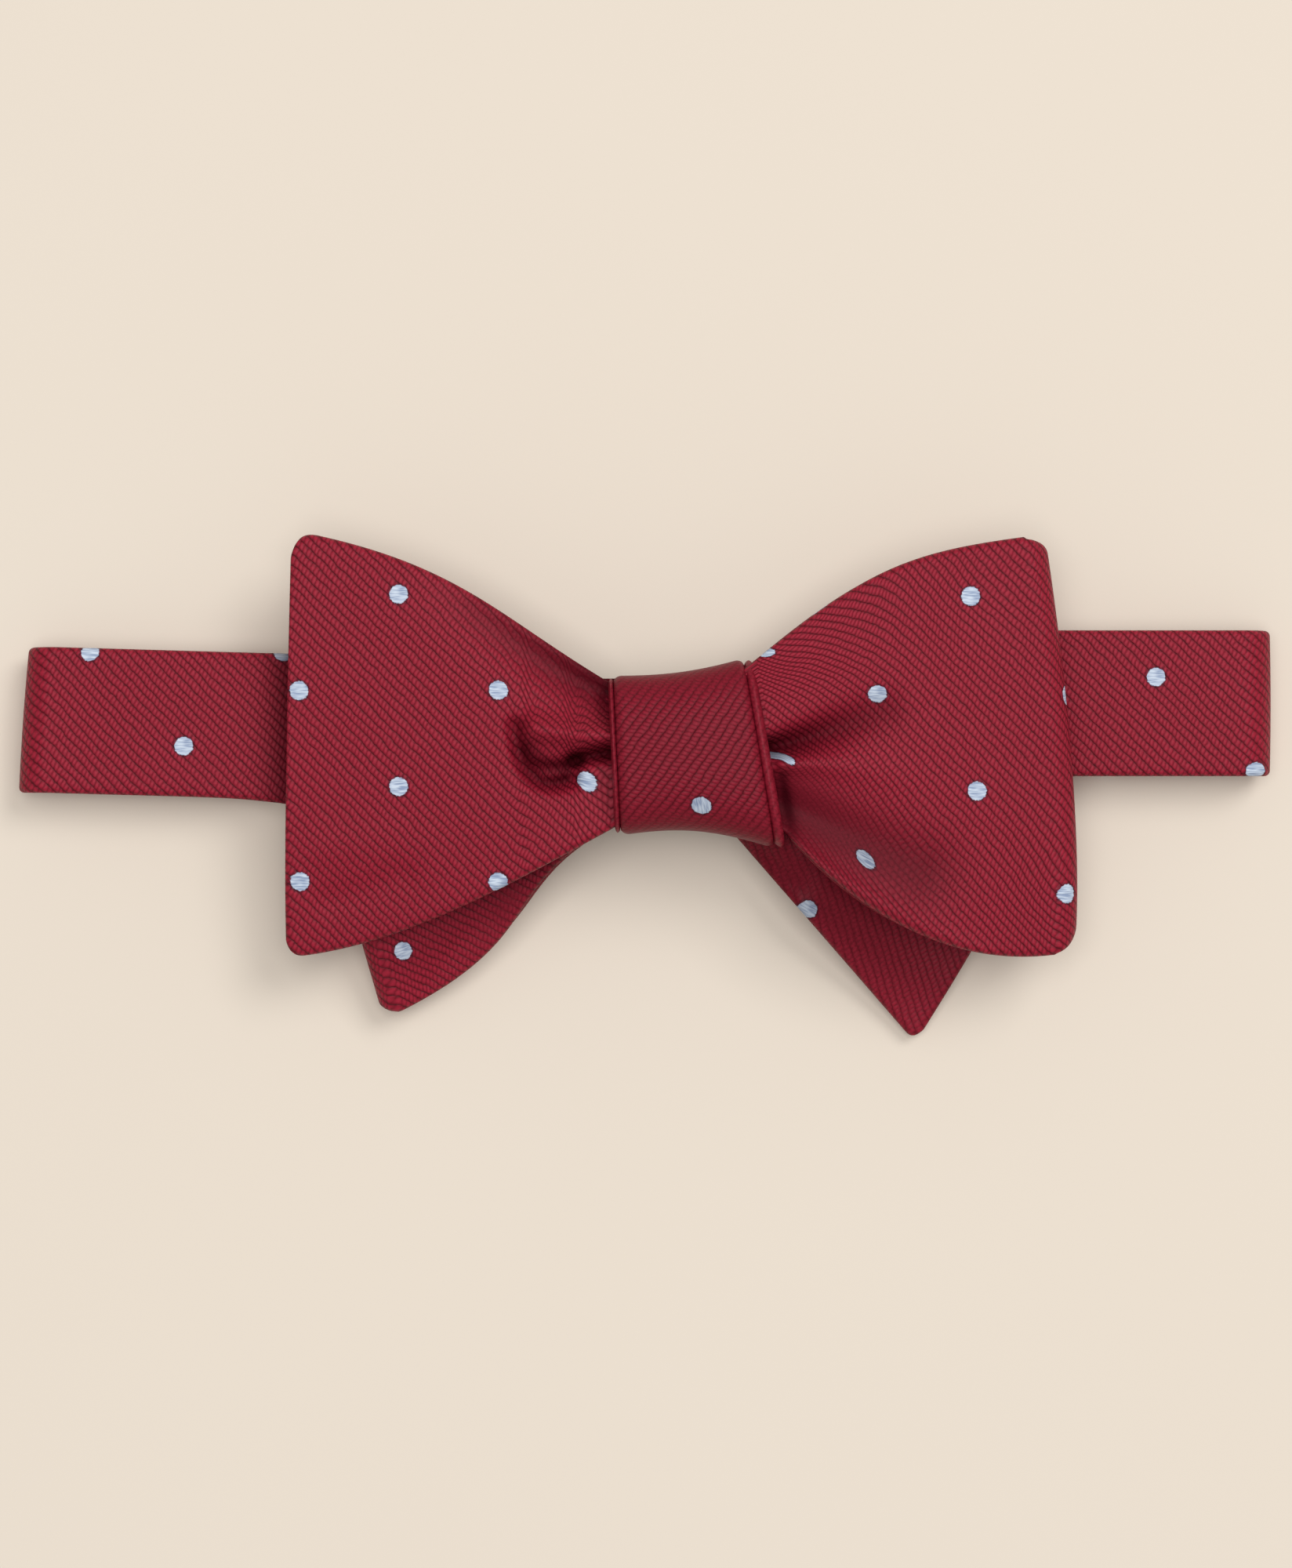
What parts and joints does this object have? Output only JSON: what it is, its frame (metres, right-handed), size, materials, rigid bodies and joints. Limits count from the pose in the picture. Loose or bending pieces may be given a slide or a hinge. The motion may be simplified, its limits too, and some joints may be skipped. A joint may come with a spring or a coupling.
{
  "type": "bow tie",
  "caption": "Self-tied butterfly bow tie in spotted twill silk, lying flat, with an adjustable neckband closed by a hook and an eye.",
  "frame": {"origin": "centre of the underside of the whole tie, on the surface it lies on", "axes": "+X to the right of the bow seen from its front, +Y to its upper edge, +Z out of its front"},
  "size_m": [0.1924, 0.0763, 0.0264],
  "materials": {
    "silk_twill": "claret ribbed twill silk with woven pale blue spots",
    "silk_reverse": "claret twill silk, the blades other side",
    "interlining": "unbleached wool interlining",
    "nickel_plate": "satin nickel plate on stamped steel",
    "sewing_thread": "claret sewing thread"
  },
  "bodies": {
    "closure_eye": {"closure_eye": "nickel_plate"},
    "closure_hook": {"closure_hook": "nickel_plate"},
    "back_strap_right": {"back_strap_right_sleeve": "silk_twill", "back_strap_right_interlining": "interlining", "back_strap_right_turn": "silk_twill", "eye_bar_tack": "sewing_thread"},
    "neckband_right": {"neckband_right_sleeve": "silk_twill", "neckband_right_interlining": "interlining", "neckband_right_turn_sleeve": "silk_twill", "neckband_right_turn_interlining": "interlining"},
    "knot": {"knot_wrap_face_silk": "silk_twill", "knot_wrap_interlining": "interlining", "knot_wrap_back_silk": "silk_reverse", "knot_under_turn": "silk_twill", "knot_front_waist": "silk_twill", "knot_rear_waist": "silk_reverse", "neckband_centre_sleeve": "silk_twill", "neckband_centre_interlining": "interlining"},
    "neckband_left": {"neckband_left_sleeve": "silk_twill", "neckband_left_interlining": "interlining", "neckband_left_turn_sleeve": "silk_twill", "neckband_left_turn_interlining": "interlining"},
    "back_strap_left": {"back_strap_left_sleeve": "silk_twill", "back_strap_left_interlining": "interlining", "back_strap_left_turn": "silk_twill", "adjuster_tail": "silk_twill"},
    "adjuster_slider": {"adjuster_slider": "nickel_plate", "adjuster_tail_loop": "silk_twill", "adjuster_bar_tack": "sewing_thread"},
    "front_left_wing": {"front_left_wing_face_silk": "silk_twill", "front_left_wing_interlining": "interlining", "front_left_wing_back_silk": "silk_reverse"},
    "front_right_wing": {"front_right_wing_outer_silk": "silk_twill", "front_right_wing_interlining": "interlining", "front_right_wing_inner_silk": "silk_reverse"},
    "rear_left_wing": {"rear_left_wing_outer_silk": "silk_twill", "rear_left_wing_interlining": "interlining", "rear_left_wing_inner_silk": "silk_reverse"},
    "rear_right_wing": {"rear_right_wing_face_silk": "silk_twill", "rear_right_wing_interlining": "interlining", "rear_right_wing_back_silk": "silk_reverse"}
  },
  "joints": [
    {"name": "neck_loop", "type": "hinge", "parent": "closure_eye", "child": "back_strap_right", "pos_m": [0.0205, 0.0066, 0.0025], "axis": [0, -1, 0], "range_deg": [0, 45]},
    {"name": "right_turn", "type": "hinge", "parent": "back_strap_right", "child": "neckband_right", "pos_m": [0.0916, 0.0124, 0.00455], "axis": [0, 1, 0], "range_deg": [0, 90], "deforming": ["neckband_right_turn_sleeve", "neckband_right_turn_interlining"]},
    {"name": "right_band_root", "type": "hinge", "parent": "neckband_right", "child": "knot", "pos_m": [0.0205, 0.005, 0.0066], "axis": [0, -1, 0], "range_deg": [0, 45]},
    {"name": "left_band_root", "type": "hinge", "parent": "knot", "child": "neckband_left", "pos_m": [-0.0205, 0.005, 0.0066], "axis": [0, -1, 0], "range_deg": [0, 45]},
    {"name": "left_turn", "type": "hinge", "parent": "neckband_left", "child": "back_strap_left", "pos_m": [-0.0916, 0.00984, 0.00485], "axis": [0, 1, 0], "range_deg": [0, 90], "deforming": ["neckband_left_turn_sleeve", "neckband_left_turn_interlining"]},
    {"name": "hook_release", "type": "slide", "parent": "closure_eye", "child": "closure_hook", "axis": [1, 0, 0], "range_m": [0, 0.0017]},
    {"name": "neck_size_slide", "type": "slide", "parent": "back_strap_left", "child": "adjuster_slider", "axis": [-0.999, 0.0455, 0], "range_m": [-0.017, 0.027], "deforming": ["adjuster_tail"]},
    {"name": "front_left_flare", "type": "hinge", "parent": "knot", "child": "front_left_wing", "pos_m": [-0.00517, 0.005, 0.0225], "axis": [-0.039, 0.9992, 0], "range_deg": [0, 20], "stiffness_Nm_per_rad": 0.02},
    {"name": "rear_left_flare", "type": "hinge", "parent": "knot", "child": "rear_left_wing", "pos_m": [-0.00517, 0.005, 0.0174], "axis": [-0.039, 0.9992, 0], "range_deg": [0, 8]},
    {"name": "front_right_flare", "type": "hinge", "parent": "knot", "child": "front_right_wing", "pos_m": [0.0185, 0.005, 0.0225], "axis": [0.154, -0.9881, 0], "range_deg": [0, 20], "stiffness_Nm_per_rad": 0.02},
    {"name": "rear_right_flare", "type": "hinge", "parent": "knot", "child": "rear_right_wing", "pos_m": [0.0185, 0.005, 0.0174], "axis": [0.154, -0.9881, 0], "range_deg": [0, 8]}
  ],
  "couplings": [
    {"joint": "right_turn", "follows": "neck_loop", "ratio": 2},
    {"joint": "right_band_root", "follows": "neck_loop", "ratio": 1},
    {"joint": "left_band_root", "follows": "neck_loop", "ratio": 1},
    {"joint": "left_turn", "follows": "neck_loop", "ratio": 2},
    {"joint": "rear_left_flare", "follows": "front_left_flare", "ratio": 0.4},
    {"joint": "rear_right_flare", "follows": "front_right_flare", "ratio": 0.4}
  ]
}
